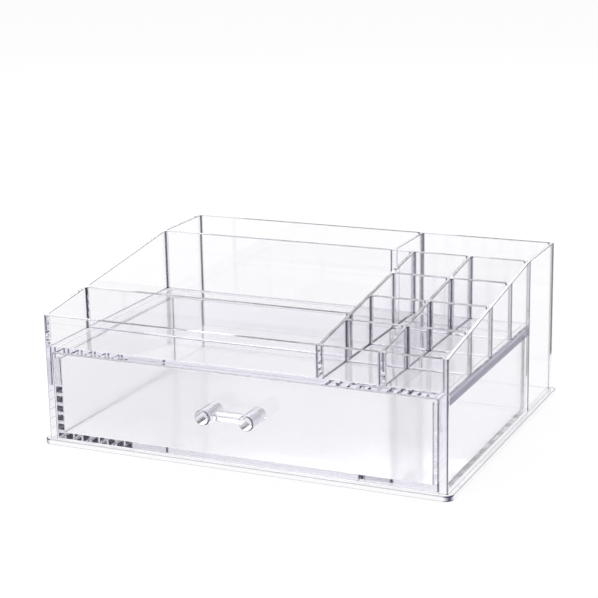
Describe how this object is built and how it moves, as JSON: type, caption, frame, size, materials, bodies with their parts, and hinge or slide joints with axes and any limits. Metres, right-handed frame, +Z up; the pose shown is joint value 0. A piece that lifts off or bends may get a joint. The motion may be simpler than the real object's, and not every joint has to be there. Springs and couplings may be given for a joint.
{
  "type": "clear makeup organizer with drawer",
  "caption": "Clear plastic tabletop organizer: open tray of compartments and small square cells, full-height rear row, and one drawer with a bar handle below.",
  "frame": {"origin": "centre of the base plate's underside, where the organizer stands", "axes": "+X along the front to the right as seen from the front, +Y to the back, +Z up. The drawer opens towards -Y."},
  "size_m": [0.246, 0.2095, 0.0945],
  "materials": {
    "clear_base": "clear, polished, with moulded edges",
    "clear_case": "clear, polished",
    "clear_drawer": "clear, polished, a little hazier than the case",
    "clear_handle": "clear, polished"
  },
  "bodies": {
    "case": {"base_plate": "clear_base", "left_wall": "clear_case", "right_wall": "clear_case", "back_wall": "clear_case", "front_wall": "clear_case", "rear_partition": "clear_case", "rear_divider": "clear_case", "tray_floor": "clear_case", "left_guide": "clear_case", "right_guide": "clear_case", "column_divider_left": "clear_case", "column_divider_right": "clear_case", "cross_wall_1": "clear_case", "cross_wall_2": "clear_case", "cross_wall_3": "clear_case", "long_divider": "clear_case"},
    "drawer": {"drawer_front": "clear_drawer", "drawer_left_side": "clear_drawer", "drawer_right_side": "clear_drawer", "drawer_back": "clear_drawer", "drawer_bottom": "clear_drawer", "handle_bar": "clear_handle", "handle_post_left": "clear_handle", "handle_post_right": "clear_handle"}
  },
  "joints": [
    {"name": "drawer_slide", "type": "slide", "parent": "case", "child": "drawer", "axis": [0, -1, 0], "range_m": [0, 0.11]}
  ]
}
